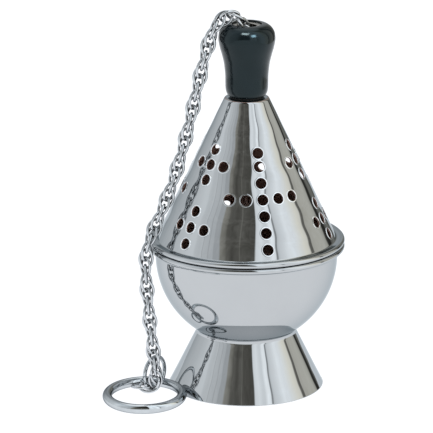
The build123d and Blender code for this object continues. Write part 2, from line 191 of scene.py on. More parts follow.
def wire_polish(name, colour, scale=260.0, crevice=0.0):
    """Polished nickel wire: rubbed bright, with faint marks and, between links, painted shade: an
    ambient-occlusion mask darkens the crevices.
    """
    shader = Shader(name, Metallic=1.0, Specular_Tint=WIRE_EDGE_TINT)
    film = shader.noise(scale, 3.0, 0.6)
    marks = shader.noise(scale * 9.0, 2.0, 0.6)
    tint = shader.ramp(film, [(0.3, shade(colour, 0.86)), (0.65, colour)])
    # Painted shade: given a crevice reach, an ambient-occlusion mask darkens the wire where links crowd each
    # other.
    if crevice:
        hidden = shader.node("ShaderNodeAmbientOcclusion", samples=6)
        shader.plug(crevice, hidden.inputs["Distance"])
        tint = shader.mix(shader.span(hidden.outputs["AO"], 0.30, 0.85), CREVICE_SHADE, tint)
    return shader.finished(tint, shader.span(film, 0.4, 0.8, 0.012, 0.06), (marks, 0.15, 0.00001))


def turned_steel(name):
    """Machined steel fittings: fine tool lines and a slight warm stain."""
    shader = Shader(name, Metallic=1.0)
    clean, warm = (0.50, 0.49, 0.47), (0.40, 0.3724, 0.329)
    stain = shader.noise(170.0, 4.0, 0.6)
    lines = shader.noise(1.0, 2.0, 0.6, stretch=(500.0, 500.0, 9000.0))
    tint = shader.ramp(stain, [(0.3, warm), (0.7, clean)])
    return shader.finished(tint, shader.span(stain, 0.3, 0.7, 0.22, 0.38), (lines, 0.35, 0.00001))


def heated_sheet(name):
    """Pan steel that charcoal has heated: straw and blue tints, ash-grey bloom, dull and pitted."""
    shader = Shader(name, Metallic=0.9)
    heat = shader.noise(62.0, 4.0, 0.6)
    ash = shader.noise(420.0, 5.0, 0.65)
    dark, grey, straw = (0.10, 0.095, 0.10), (0.24, 0.21, 0.17), (0.30, 0.22, 0.12)
    blue, pale = (0.16, 0.15, 0.19), (0.33, 0.32, 0.31)
    tint = shader.ramp(heat, [(0.28, dark), (0.45, grey), (0.55, straw), (0.64, blue), (0.8, pale)])
    return shader.finished(tint, shader.span(ash, 0.3, 0.7, 0.35, 0.7), (ash, 0.5, 0.00006))


def smoked_inside(name):
    """Inside of the cover: brown smoke film over dull metal."""
    shader = Shader(name, Metallic=0.1)
    film = shader.noise(120.0, 4.0, 0.6)
    tint = shader.ramp(film, [(0.3, (0.30, 0.175, 0.14)), (0.7, (0.46, 0.29, 0.24))])
    return shader.finished(tint, shader.span(film, 0.3, 0.7, 0.55, 0.8), (film, 0.4, 0.00008))


def satin_inside(name):
    """Underside of the foot: unpolished spun metal with plain turning lines."""
    shader = Shader(name, Metallic=1.0)
    lines = shader.noise(1.0, 3.0, 0.6, stretch=(40.0, 40.0, 2600.0))
    soot = shader.noise(70.0, 4.0, 0.6)
    tint = shader.ramp(soot, [(0.3, (0.34, 0.32, 0.30)), (0.7, (0.52, 0.52, 0.51))])
    return shader.finished(tint, shader.span(lines, 0.3, 0.7, 0.22, 0.42), (lines, 0.4, 0.00002))


def smoked_metal(name):
    """Bare metal above the charcoal: smoke has browned it, and it shines through where things rub."""
    shader = Shader(name, Metallic=0.3)
    film = shader.noise(240.0, 4.0, 0.6)
    thick, thin, rubbed = (0.26, 0.17, 0.14), (0.36, 0.25, 0.21), (0.50, 0.42, 0.37)
    tint = shader.ramp(film, [(0.35, thick), (0.6, thin), (0.8, rubbed)])
    return shader.finished(tint, shader.span(film, 0.3, 0.7, 0.55, 0.32), (film, 0.4, 0.00003))


def black_gloss(name):
    """Turned black resin, buffed: near-black with a faint blue cast, hairline scratches and a soft ripple."""
    shader = Shader(name, IOR=1.41, Specular_Tint=(0.72, 0.95, 1.0, 1.0))
    cloud = shader.noise(90.0, 3.0, 0.5)
    hair = shader.noise(1.0, 3.0, 0.6, stretch=(300.0, 300.0, 3600.0))
    ripple = shader.noise(55.0, 1.0, 0.4)
    tint = shader.ramp(cloud, [(0.3, (0.0016, 0.0030, 0.0038)), (0.7, (0.0032, 0.0054, 0.0068))])
    rough = shader.span(hair, 0.4, 0.8, 0.13, 0.20)
    return shader.finished(tint, rough, (ripple, 0.6, 0.00006), (hair, 0.1, 0.000006))


def black_fibre(name):
    """Pressed black fibre washer."""
    shader = Shader(name)
    fibre = shader.noise(1500.0, 4.0, 0.7, stretch=(1.0, 1.0, 3.0))
    tint = shader.ramp(fibre, [(0.3, (0.008, 0.008, 0.008)), (0.7, (0.030, 0.028, 0.026))])
    return shader.finished(tint, shader.span(fibre, 0.3, 0.7, 0.6, 0.85), (fibre, 0.5, 0.00005))


NICKEL = (0.515, 0.530, 0.540)
WIRE_NICKEL = (0.64, 0.66, 0.68)
POLISH = spun_polish("polished_cone", NICKEL, 0.0030)
FOOT_POLISH = spun_polish("polished_foot", NICKEL, 0.0008)
BOWL_POLISH = spun_polish("polished_bowl", NICKEL, 0.0003)
# The hole lips get a paler metal than the cone: a painted highlight that makes their rolled rims read as
# bright lines.
LIP_HIGHLIGHT = wire_polish("lips_painted_highlight", (0.86, 0.88, 0.90))
RING = wire_polish("ring_metal", (0.58, 0.61, 0.63), 140.0)
# The chain's crevices get painted shade, from occlusion within 2.2 mm.
CHAIN = wire_polish("chain_metal", WIRE_NICKEL, crevice=2.2 * MM)
STEEL = turned_steel("fitting_steel")
PAN = heated_sheet("pan_steel")
SMOKED = smoked_inside("cover_inside")
SATIN = satin_inside("foot_inside")
BROWNED = smoked_metal("browned_metal")
KNOB = black_gloss("black_knob")
FIBRE = black_fibre("black_fibre")


# ---- mesh helpers -------------------------------------------------------------------------------
TURN_STEPS = 256


def add_mesh(name, points, faces, materials, body, nodes):
    """Mesh object that rides on a body, stands for CAD nodes and takes a material slot's finish."""
    mesh = bpy.data.meshes.new(name)
    mesh.from_pydata(points, [], faces)
    mesh.update()
    piece = bpy.data.objects.new(name, mesh)
    bpy.context.scene.collection.objects.link(piece)
    for material in materials:
        mesh.materials.append(material)
    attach(piece, body)
    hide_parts(*nodes)
    return piece


def smooth(mesh, sharp_degrees=32.0):
    """Smooth shading that keeps edges sharper than an angle."""
    for polygon in mesh.polygons:
        polygon.use_smooth = True
    mesh.set_sharp_from_angle(angle=math.radians(sharp_degrees))


def arc(centre, radius, start, end, steps=8):
    """Points of an arc in the (radius, height) plane, angles in degrees from +radius towards +height."""
    angles = [math.radians(start + (end - start) * step / steps) for step in range(steps + 1)]
    return [(centre[0] + radius * math.cos(a), centre[1] + radius * math.sin(a)) for a in angles]


def run(start, end, steps=1, hold=0.00006):
    """Points of a straight stretch, with one close to each end so that its shading stays straight."""
    start, end = Vector(start), Vector(end)
    length = (end - start).length
    near = min(hold / length, 0.2)
    parts = [0.0, near] + [near + (1 - 2 * near) * step / steps for step in range(1, steps)] + [1 - near, 1.0]
    return [tuple(start.lerp(end, part)) for part in parts]


def joined(*stretches):
    """One outline from several stretches, without the points that they share."""
    points = []
    for stretch in stretches:
        for point in stretch:
            if not points or (Vector(point) - Vector(points[-1])).length > 1e-7:
                points.append(point)
    return points


def turned_faces(outline, steps=TURN_STEPS):
    """Points and faces of a closed (radius, height) outline, run anticlockwise and turned about Z."""
    points = []
    for step in range(steps):
        angle = 2 * math.pi * step / steps
        points += [(r * math.cos(angle), r * math.sin(angle), z) for r, z in outline]
    count = len(outline)
    faces = []
    for step in range(steps):
        here, there = step * count, (step + 1) % steps * count
        for index in range(count):
            following = (index + 1) % count
            faces.append((here + index, there + index, there + following, here + following))
    return points, faces


def paint(mesh, index, test):
    """Gives a material index to every face whose centre passes a test."""
    for polygon in mesh.polygons:
        if test(polygon.center):
            polygon.material_index = index


# ---- foot, bowl and their insides ---------------------------------------------------------------
SHEET = 0.9 * MM
COVER_SHEET = 0.8 * MM
BEAD_R = 1.45 * MM
FOOT_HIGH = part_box("foot")[1]
BOWL_LOW, BOWL_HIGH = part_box("bowl")
COVER_LOW, COVER_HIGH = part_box("cover")
KNOB_LOW, KNOB_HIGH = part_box("knob")
RIM_R = BOWL_HIGH[0]
RIM_OVERHANG = 3.9 * MM
RIM_ABOVE_SPHERE = 6.7 * MM
BOWL_SPHERE_R = RIM_R - RIM_OVERHANG
BOWL_SPHERE_Z = BOWL_HIGH[2] - RIM_ABOVE_SPHERE
BOLT_R = 2.4 * MM
HOLLOW_R = 2.4 * MM
CONE_SLOPE = 0.471


def sphere_point(radius, z):
    """(radius from the axis, height) on a sphere about the bowl's centre."""
    return math.sqrt(radius ** 2 - (BOWL_SPHERE_Z - z) ** 2), z


def sphere_arc(radius, low, high, steps):
    """Arc of the bowl's sphere between two heights."""
    angles = [math.degrees(math.asin((z - BOWL_SPHERE_Z) / radius)) for z in (low, high)]
    return arc((0.0, BOWL_SPHERE_Z), radius, angles[0], angles[1], steps)


def blend_arc(corner, along, radius, steps=8):
    """Hollow arc that eases a straight wall into the bowl; along is the wall's direction up to the corner."""
    centre = Vector((0.0, BOWL_SPHERE_Z))
    off = Vector((along.y, -along.x)) * radius
    reach = Vector(corner) + off - centre
    climb = reach.dot(along)
    back = climb + math.sqrt(climb ** 2 - reach.length_squared + (BOWL_SPHERE_R + radius) ** 2)
    middle = Vector(corner) + off - along * back
    to_bowl = centre - middle
    start = math.degrees(math.atan2(-off.y, -off.x)) % 360
    return arc(middle, radius, start, math.degrees(math.atan2(to_bowl.y, to_bowl.x)), steps)


def make_foot():
    """Flared foot; its bottom edge is dressed round and its top eases into the bowl that it carries."""
    foot_r = FOOT_HIGH[0]
    seat_r = BOWL_SPHERE_R + 0.02 * MM
    under_r = seat_r + SHEET
    neck = sphere_point(seat_r, FOOT_HIGH[2])
    slope = (foot_r - neck[0]) / neck[1]
    lean = math.atan(slope)
    wall = SHEET / math.cos(lean)
    seat_z = BOWL_LOW[2]
    shoulder_r = neck[0] - 1.5 * MM
    shoulder = (shoulder_r, BOWL_SPHERE_Z - math.sqrt(under_r ** 2 - shoulder_r ** 2))
    inside_r = foot_r - wall - slope * shoulder[1]
    edge = 0.3 * MM
    blend = blend_arc(neck, Vector((-math.sin(lean), math.cos(lean))), HOLLOW_R)
    outline = joined(
        run((foot_r - wall + edge, 0.0), (foot_r - edge * 1.2, 0.0)),
        arc((foot_r - edge * 1.5, edge), edge, -80, 28, 5),
        run((foot_r - slope * 1.2 * edge, 1.2 * edge), blend[0], 24),
        blend,
        sphere_arc(seat_r, blend[-1][1], seat_z, 12),
        run(sphere_point(seat_r, seat_z), (BOLT_R, seat_z)),
        run((BOLT_R, seat_z), (BOLT_R, seat_z - SHEET)),
        run((BOLT_R, seat_z - SHEET), sphere_point(under_r, seat_z - SHEET)),
        sphere_arc(under_r, seat_z - SHEET, shoulder[1], 10),
        run(shoulder, (inside_r, shoulder[1])),
        run((inside_r, shoulder[1]), (foot_r - wall, edge), 12),
    )
    points, faces = turned_faces(outline)
    piece = add_mesh("foot_shell", points, faces, (FOOT_POLISH, SATIN), "base", ["foot"])

    def underside(centre):
        in_wall = centre.xy.length > foot_r - slope * centre.z - SHEET * 0.6
        return not in_wall and centre.z < FOOT_HIGH[2] - 0.5 * MM

    paint(piece.data, 1, underside)
    smooth(piece.data)
    return piece


def make_bowl():
    """Spun bowl: round body, flare and rolled rim, browned by smoke inside."""
    inner_r = BOWL_SPHERE_R - SHEET
    bead = (RIM_R - BEAD_R, BOWL_HIGH[2] - BEAD_R)
    crease_z = BOWL_HIGH[2] - 5.0 * MM
    flare_r, flare_start, flare_end = 3.3 * MM, 165.0, 113.0
    turn = math.radians(flare_start)
    flare = (BOWL_SPHERE_R - flare_r * math.cos(turn), crease_z - flare_r * math.sin(turn))
    outer_flare = arc(flare, flare_r, flare_start, flare_end, 8)
    meet = math.degrees(math.atan2(outer_flare[-1][1] - bead[1], outer_flare[-1][0] - bead[0]))
    floor_z = BOWL_LOW[2]
    outline = joined(
        run((BOLT_R, floor_z), sphere_point(BOWL_SPHERE_R, floor_z), 2),
        sphere_arc(BOWL_SPHERE_R, floor_z, BOWL_SPHERE_Z, 72),
        run((BOWL_SPHERE_R, BOWL_SPHERE_Z), (BOWL_SPHERE_R, crease_z)),
        outer_flare,
        arc(bead, BEAD_R, meet, 172, 24),
        arc(flare, flare_r + SHEET, flare_end, flare_start, 8),
        run((inner_r, crease_z), (inner_r, BOWL_SPHERE_Z)),
        sphere_arc(inner_r, BOWL_SPHERE_Z, floor_z + SHEET, 60),
        run(sphere_point(inner_r, floor_z + SHEET), (BOLT_R, floor_z + SHEET), 2),
    )
    points, faces = turned_faces(outline)
    piece = add_mesh("bowl_shell", points, faces, (BOWL_POLISH, BROWNED), "base", ["bowl"])

    def inside(centre):
        reach = (centre - Vector((0, 0, BOWL_SPHERE_Z))).length
        return centre.z < crease_z and reach < BOWL_SPHERE_R - SHEET / 2

    paint(piece.data, 1, inside)
    smooth(piece.data)
    return piece


# ---- cover --------------------------------------------------------------------------------------
HOLE_R = 3.0 * MM
HOLE_STEPS = 40
LIP_WIDTH = 0.76 * MM
LIP_HEIGHT = 0.26 * MM
LIP_SETBACK = 0.28 * MM
DRILL_REACH = 3.0 * MM
REPEATS = 3
LATIN_AZIMUTH = 14.0
LATIN_TOP_Z = 135.7 * MM
LATIN_PITCH = 9.0 * MM
LATIN_FIRST_PITCH = 7.3 * MM
GREEK_OFFSET = -59.5
GREEK_CROSSES = ((128.4 * MM, 8.5 * MM), (96.5 * MM, 9.1 * MM))
CONE_TOP_R = 11.8 * MM
TUBE_R = 6.1 * MM
CONE_LEAN = math.atan(CONE_SLOPE)
COVER_TOP_Z = COVER_HIGH[2]
COVER_RIM_Z = COVER_LOW[2] + BEAD_R
FLANGE_TOP_Z = COVER_RIM_Z + 1.3 * MM


def cone_radius(z):
    """Outside radius of the cover's cone."""
    return CONE_TOP_R + (COVER_TOP_Z - z) * CONE_SLOPE


def cross_centres():
    """(azimuth in degrees from -Y towards +X, height) of every pierced hole, as in the CAD pattern."""
    drop = math.cos(CONE_LEAN)
    places = []
    for step in range(REPEATS):
        azimuth = LATIN_AZIMUTH + 360.0 / REPEATS * step
        heights = [LATIN_TOP_Z, LATIN_TOP_Z - LATIN_FIRST_PITCH * drop]
        for _ in range(5):
            heights.append(heights[-1] - LATIN_PITCH * drop)
        places += [(azimuth, z) for z in heights]
        arm_z = heights[3]
        turn = math.degrees(LATIN_PITCH / cone_radius(arm_z))
        places += [(azimuth + turn * side, arm_z) for side in (-2, -1, 1, 2)]
        for z, pitch in GREEK_CROSSES:
            across = math.degrees(pitch / cone_radius(z))
            rise = pitch * drop
            small = azimuth + GREEK_OFFSET
            places += [(small, z), (small, z + rise), (small, z - rise)]
            places += [(small - across, z), (small + across, z)]
    return places


def cone_frame(azimuth, z):
    """Point on the cone's outside, with its outward normal, uphill and sideways directions."""
    angle = math.radians(azimuth - 90.0)
    out = Vector((math.cos(angle), math.sin(angle), 0.0))
    side = Vector((-math.sin(angle), math.cos(angle), 0.0))
    normal = out * math.cos(CONE_LEAN) + Vector((0, 0, math.sin(CONE_LEAN)))
    up = normal.cross(side)
    return out * cone_radius(z) + Vector((0, 0, z)), normal, up, side


def drills():
    """One mesh of round drills, square to the cone, for cutting every hole."""
    points, faces = [], []
    for azimuth, z in cross_centres():
        centre, normal, up, side = cone_frame(azimuth, z)
        base = len(points)
        for depth in (-DRILL_REACH, DRILL_REACH):
            for step in range(HOLE_STEPS):
                angle = 2 * math.pi * step / HOLE_STEPS
                reach = (side * math.cos(angle) + up * math.sin(angle)) * HOLE_R
                points.append(centre + normal * depth + reach)
        low = [base + step for step in range(HOLE_STEPS)]
        high = [base + HOLE_STEPS + step for step in range(HOLE_STEPS)]
        faces.append(tuple(reversed(low)))
        faces.append(tuple(high))
        for step in range(HOLE_STEPS):
            after = (step + 1) % HOLE_STEPS
            faces.append((low[step], low[after], high[after], high[step]))
    mesh = bpy.data.meshes.new("drills")
    mesh.from_pydata(points, [], faces)
    tool = bpy.data.objects.new("drills", mesh)
    bpy.context.scene.collection.objects.link(tool)
    return tool


def hole_lips(points, faces):
    """Adds the small polished roll round each hole: a half-round ring that follows the cone."""
    section = 8
    lip_r = HOLE_R + LIP_SETBACK
    for azimuth, z in cross_centres():
        centre, normal, up, side = cone_frame(azimuth, z)
        base = len(points)
        for step in range(HOLE_STEPS):
            angle = 2 * math.pi * step / HOLE_STEPS
            for part in range(section):
                turn = 2 * math.pi * part / section
                reach = lip_r + LIP_WIDTH / 2 * math.cos(turn)
                flat = centre + (side * math.cos(angle) + up * math.sin(angle)) * reach
                around = flat.xy.length
                surface = cone_radius(flat.z)
                sink = (surface - around) * math.cos(CONE_LEAN)
                points.append(flat + normal * (sink + LIP_HEIGHT * math.sin(turn)))
        for step in range(HOLE_STEPS):
            here = base + step * section
            there = base + (step + 1) % HOLE_STEPS * section
            for part in range(section):
                after = (part + 1) % section
                faces.append((here + part, there + part, there + after, here + after))


def make_cover():
    """Pierced cone with its flange and rolled rim; smoke-brown inside."""
    wall = COVER_SHEET / math.cos(CONE_LEAN)
    bead = (RIM_R - BEAD_R, COVER_RIM_Z)
    low_z = FLANGE_TOP_Z - COVER_SHEET
    top_fillet, foot_fillet = 2.0 * MM, 0.8 * MM
    lean = math.degrees(CONE_LEAN)
    # Fillet centres: inside the corner of the flat top and the cone, and in the groove above the flange.
    top_run = top_fillet * math.tan((math.pi / 2 - CONE_LEAN) / 2)
    top_centre = (CONE_TOP_R - top_run, COVER_TOP_Z - top_fillet)
    foot_run = foot_fillet * math.tan((math.pi / 2 - CONE_LEAN) / 2)
    foot_corner = cone_radius(FLANGE_TOP_Z)
    foot_centre = (foot_corner + foot_run, FLANGE_TOP_Z + foot_fillet)
    top_join = arc(top_centre, top_fillet, lean, lean, 1)[0]
    foot_join = arc(foot_centre, foot_fillet, 180 + lean, 180 + lean, 1)[0]
    top_meet = 180 - math.degrees(math.asin((FLANGE_TOP_Z - COVER_RIM_Z) / BEAD_R))
    low_meet = -180 - math.degrees(math.asin((low_z - COVER_RIM_Z) / BEAD_R))
    roll = arc(bead, BEAD_R, top_meet, low_meet, 26)
    inner_low = cone_radius(low_z) - wall
    inner_high = cone_radius(COVER_TOP_Z - COVER_SHEET) - wall
    outline = joined(
        run((TUBE_R, COVER_TOP_Z - COVER_SHEET), (TUBE_R, COVER_TOP_Z)),
        run((TUBE_R, COVER_TOP_Z), (top_centre[0], COVER_TOP_Z)),
        arc(top_centre, top_fillet, 90, lean, 8),
        run(top_join, foot_join, 40),
        arc(foot_centre, foot_fillet, 180 + lean, 270, 6),
        roll,
        run(roll[-1], (inner_low, low_z)),
        run((inner_low, low_z), (inner_high, COVER_TOP_Z - COVER_SHEET), 40),
        run((inner_high, COVER_TOP_Z - COVER_SHEET), (TUBE_R, COVER_TOP_Z - COVER_SHEET)),
    )
    # Drawn clockwise, so it is turned round.
    outline.reverse()
    points, faces = turned_faces(outline)
    piece = add_mesh("cover_shell", points, faces, (POLISH, SMOKED, LIP_HIGHLIGHT), "lid", ["cover"])
    tool = drills()
    cut = piece.modifiers.new("holes", "BOOLEAN")
    cut.operation = "DIFFERENCE"
    cut.solver = "EXACT"
    cut.object = tool
    bake_modifiers(piece)
    bpy.data.objects.remove(tool)
    shell_faces = len(piece.data.polygons)
    add_lips(piece)

    def inside(centre):
        under_skin = centre.xy.length <= cone_radius(centre.z) - wall * 0.3
        return under_skin and FLANGE_TOP_Z + 1.0 * MM <= centre.z < COVER_TOP_Z - COVER_SHEET * 0.4

    paint(piece.data, 1, inside)
    # The lips take the paler metal of the painted highlight.
    for polygon in piece.data.polygons[shell_faces:]:
        polygon.material_index = 2
    shade_cover(piece.data, wall)
    return piece


def bake_modifiers(piece):
    """Replaces a piece's mesh by its evaluated one and drops the modifiers."""
    graph = bpy.context.evaluated_depsgraph_get()
    mesh = bpy.data.meshes.new_from_object(piece.evaluated_get(graph))
    piece.modifiers.clear()
    old = piece.data
    piece.data = mesh
    mesh.name = old.name + "_cut"
    mesh.materials.clear()
    for material in old.materials:
        mesh.materials.append(material)
    bpy.data.meshes.remove(old)


def add_lips(piece):
    """Joins the rolled lips of the holes into the cover's mesh."""
    points, faces = [], []
    hole_lips(points, faces)
    old = piece.data
    all_points = [v.co.copy() for v in old.vertices] + points
    shift = len(old.vertices)
    all_faces = [tuple(p.vertices) for p in old.polygons]
    all_faces += [tuple(shift + index for index in face) for face in faces]
    mesh = bpy.data.meshes.new(piece.name)
    mesh.from_pydata(all_points, [], all_faces)
    mesh.update()
    for material in old.materials:
        mesh.materials.append(material)
    piece.data = mesh
    bpy.data.meshes.remove(old)


def shade_cover(mesh, wall):
    """Exact cone normals on the cover's walls, so that the cut holes don't dent its reflections."""
    smooth(mesh)
    normals = [corner.vector.copy() for corner in mesh.corner_normals]
    rise, out_part = math.sin(CONE_LEAN), math.cos(CONE_LEAN)
    for polygon in mesh.polygons:
        centre = polygon.center
        out = Vector((centre.x, centre.y, 0.0)).normalized()
        cone_normal = out * out_part + Vector((0, 0, rise))
        facing = polygon.normal.dot(cone_normal)
        depth = cone_radius(centre.z) - centre.xy.length
        outer = facing > 0.999 and abs(depth) < 0.1 * wall
        inner = facing < -0.999 and abs(depth - wall) < 0.1 * wall
        if not (outer or inner):
            continue
        sign = 1.0 if outer else -1.0
        for loop in polygon.loop_indices:
            point = mesh.vertices[mesh.loops[loop].vertex_index].co
            flat = Vector((point.x, point.y, 0.0)).normalized()
            normals[loop] = (flat * out_part + Vector((0, 0, rise))) * sign
    mesh.normals_split_custom_set(normals)


# ---- knob ---------------------------------------------------------------------------------------
def make_knob():
    """Waisted knob with a swelling head, from a smooth curve through its main radii."""
    low_z, top_z = KNOB_LOW[2], KNOB_HIGH[2]
    # The side's (radius, height) points in millimetres, before they are fitted to the CAD knob.
    drawn_r, drawn_height = 15.1, 39.4
    side = [(9.3, 0.0), (9.9, 0.35), (10.5, 1.1), (11.05, 2.6), (11.32, 4.6), (11.4, 7.4), (11.45, 11.0),
            (11.75, 14.6), (12.25, 18.4), (13.25, 22.6), (14.35, 26.6), (15.02, 30.0), (15.1, 32.2),
            (14.6, 34.9), (13.1, 37.3), (10.9, 38.9), (8.8, 39.35)]
    wide = KNOB_HIGH[0] / drawn_r
    tall = (top_z - low_z) / drawn_height
    knots = [Vector((r * wide, low_z + z * tall)) for r, z in side]
    curve = smooth_line(knots, 7)
    mouth = 8.0 * MM
    flange_z = top_z - 1.8 * MM
    outline = joined(
        run((TUBE_R, low_z), tuple(knots[0])),
        curve,
        run(tuple(knots[-1]), (mouth, top_z)),
        run((mouth, top_z), (mouth, flange_z)),
        run((mouth, flange_z), (TUBE_R, flange_z)),
        run((TUBE_R, flange_z), (TUBE_R, low_z), 6),
    )
    points, faces = turned_faces(outline, 160)
    piece = add_mesh("knob_body", points, faces, (KNOB,), "lid", ["knob"])
    smooth(piece.data, 40.0)
    return piece


def smooth_line(knots, steps):
    """Catmull-Rom line through 2-D knots."""
    points = []
    for index in range(len(knots) - 1):
        before = knots[max(index - 1, 0)]
        here, there = knots[index], knots[index + 1]
        after = knots[min(index + 2, len(knots) - 1)]
        for step in range(steps + (index == len(knots) - 2)):
            t = step / steps
            point = 0.5 * ((2 * here) + (there - before) * t
                           + (2 * before - 5 * here + 4 * there - after) * t ** 2
                           + (3 * here - before - 3 * there + after) * t ** 3)
            points.append(tuple(point))
    return points


# ---- chain --------------------------------------------------------------------------------------
# Control points of the chain's route, in metres: near the CAD route, then slack links by the jump ring.
CHAIN_ROUTE = [
    (0.0, 0.0, 0.189),
    (0.0, 0.0, 0.2064),
    (-0.0152, -0.0036, 0.2076),
    (-0.0224, -0.0066, 0.186),
    (-0.0276, -0.0088, 0.162),
    (-0.0338, -0.0116, 0.136),
    (-0.0412, -0.0149, 0.1115),
    (-0.0497, -0.0187, 0.093),
    (-0.0550, -0.0214, 0.079),
    (-0.0536, -0.0229, 0.060),
    (-0.0520, -0.0246, 0.040),
    (-0.0496, -0.0246, 0.020),
    (-0.0486, -0.0240, 0.008),
    (-0.0478, -0.0236, 0.0046),
    (-0.0496, -0.0223, 0.0043),
    (-0.0540, -0.0200, 0.0043),
    (-0.0616, -0.0216, 0.0046),
]
LINK_L = 11.8 * MM
LINK_W = 8.3 * MM
LINK_END_R = 2.3 * MM
LINK_WIRE_R = 0.75 * MM
LINK_PITCH = 4.3 * MM
LINK_TWIST = math.radians(45.0)


def route_points():
    """Points along the smooth route, read from its NURBS spline."""
    data = bpy.data.curves.new("route", "CURVE")
    data.dimensions = "3D"
    spline = data.splines.new("NURBS")
    spline.points.add(len(CHAIN_ROUTE) - 1)
    for point, place in zip(spline.points, CHAIN_ROUTE):
        point.co = (*place, 1.0)
    spline.order_u = 3
    spline.use_endpoint_u = True
    spline.resolution_u = 24
    line = bpy.data.objects.new("route", data)
    bpy.context.scene.collection.objects.link(line)
    mesh = bpy.data.meshes.new_from_object(line)
    points = [v.co.copy() for v in mesh.vertices]
    bpy.data.objects.remove(line)
    return points


class Route:
    """A line measured by the length along it."""

    def __init__(self, points):
        self.points = points
        self.marks = [0.0]
        for before, after in zip(points, points[1:]):
            self.marks.append(self.marks[-1] + (after - before).length)
        self.length = self.marks[-1]

    def at(self, reach):
        """The point that far along; it runs straight on past either end."""
        if reach <= 0:
            return self.points[0] + (self.points[1] - self.points[0]).normalized() * reach
        if reach >= self.length:
            last = (self.points[-1] - self.points[-2]).normalized()
            return self.points[-1] + last * (reach - self.length)
        for index, mark in enumerate(self.marks[1:]):
            if mark >= reach:
                part = (reach - self.marks[index]) / (mark - self.marks[index])
                return self.points[index].lerp(self.points[index + 1], part)
        return self.points[-1]


def oval_line(steps=9):
    """Centreline of a link in its own plane: x across, y along; four arcs."""
    half_l, half_w = LINK_L / 2 - LINK_WIRE_R, LINK_W / 2 - LINK_WIRE_R
    side_r = (half_l ** 2 + half_w ** 2 - 2 * half_l * LINK_END_R) / (2 * (half_w - LINK_END_R))
    lean = math.degrees(math.atan((half_l - LINK_END_R) / (side_r - half_w)))
    line = []
    stretches = [
        ((half_w - side_r, 0.0), side_r, -lean, lean),
        ((0.0, half_l - LINK_END_R), LINK_END_R, lean, 180 - lean),
        ((side_r - half_w, 0.0), side_r, 180 - lean, 180 + lean),
        ((0.0, LINK_END_R - half_l), LINK_END_R, 180 + lean, 360 - lean),
    ]
    for centre, radius, start, end in stretches:
        line += arc(centre, radius, start, end, steps)[:-1]
    return [Vector((x, y, 0.0)) for x, y in line]


def wire_loop(line, wire_r, place, points, faces, around=12):
    """Adds a closed loop of round wire along a flat line, put in place by a matrix."""
    base = len(points)
    count = len(line)
    up = Vector((0.0, 0.0, 1.0))
    for index in range(count):
        ahead = (line[(index + 1) % count] - line[index - 1]).normalized()
        out = ahead.cross(up)
        for step in range(around):
            angle = 2 * math.pi * step / around
            reach = out * wire_r * math.cos(angle) + up * wire_r * math.sin(angle)
            points.append(place @ (line[index] + reach))
    for index in range(count):
        here, there = base + index * around, base + (index + 1) % count * around
        for step in range(around):
            after = (step + 1) % around
            faces.append((here + step, there + step, there + after, here + after))


def link_places(route):
    """A matrix for every link along the route: x across the link, y along it."""
    places = []
    half = LINK_L / 2 - LINK_WIRE_R
    side = Vector((1.0, 0.0, 0.0))
    reach, count = half + LINK_WIRE_R, 0
    while reach < route.length - half * 0.6:
        back, front = route.at(reach - half), route.at(reach + half)
        along = (front - back).normalized()
        side = (side - along * side.dot(along)).normalized()
        across = Matrix.Rotation(LINK_TWIST * count, 4, along) @ side
        normal = across.cross(along)
        turn = Matrix((across, along, normal)).transposed().to_4x4()
        places.append(Matrix.Translation((back + front) / 2) @ turn)
        reach += LINK_PITCH
        count += 1
    return places


def make_chain():
    """The free rope chain: real links along the smooth route."""
    line = route_points()
    route = Route(line)
    points, faces = [], []
    oval = oval_line()
    for place in link_places(route):
        wire_loop(oval, LINK_WIRE_R, place, points, faces)
    piece = add_mesh("rope_chain", points, faces, (CHAIN,), "lid", ["outer_chain"])
    smooth(piece.data, 60.0)
    return piece


def finish_cad_nodes():
    """Gives every CAD node that still shows its own material."""
    finishes = {
        STEEL: ["foot_bolt", "foot_washer", "foot_nut", "knob_tube"],
        PAN: ["charcoal_pan", "pan_legs", "pan_rivets"],
        BROWNED: ["inner_chain", "small_ring", "bridge", "eye_bolt", "eye_nut", "knob_nut", "cover_collar"],
        RING: ["jump_ring", "hand_ring"],
        FIBRE: ["knob_washer"],
    }
    for material, names in finishes.items():
        for name in names:
            for slot in NODES[name].material_slots:
                slot.material = material


# ---- stage and light ----------------------------------------------------------------------------
def add_floor():
    """Lit white table: as bright as the paper behind it, and slightly cool where the metal mirrors it."""
    side, near, far = 0.5, -0.7, 1.2
    mesh = bpy.data.meshes.new("floor")
    corners = [(-side, near, 0.0), (side, near, 0.0), (side, far, 0.0), (-side, far, 0.0)]
    mesh.from_pydata(corners, [], [(0, 1, 2, 3)])
    floor = bpy.data.objects.new("floor", mesh)
    bpy.context.scene.collection.objects.link(floor)
    shader = Shader("lit_table", Roughness=0.9, Base_Color=(0.10, 0.10, 0.10, 1.0), Specular_IOR_Level=0.0,
                    Emission_Color=(0.945, 0.965, 1.0, 1.0), Emission_Strength=1.07)
    mesh.materials.append(shader.material)


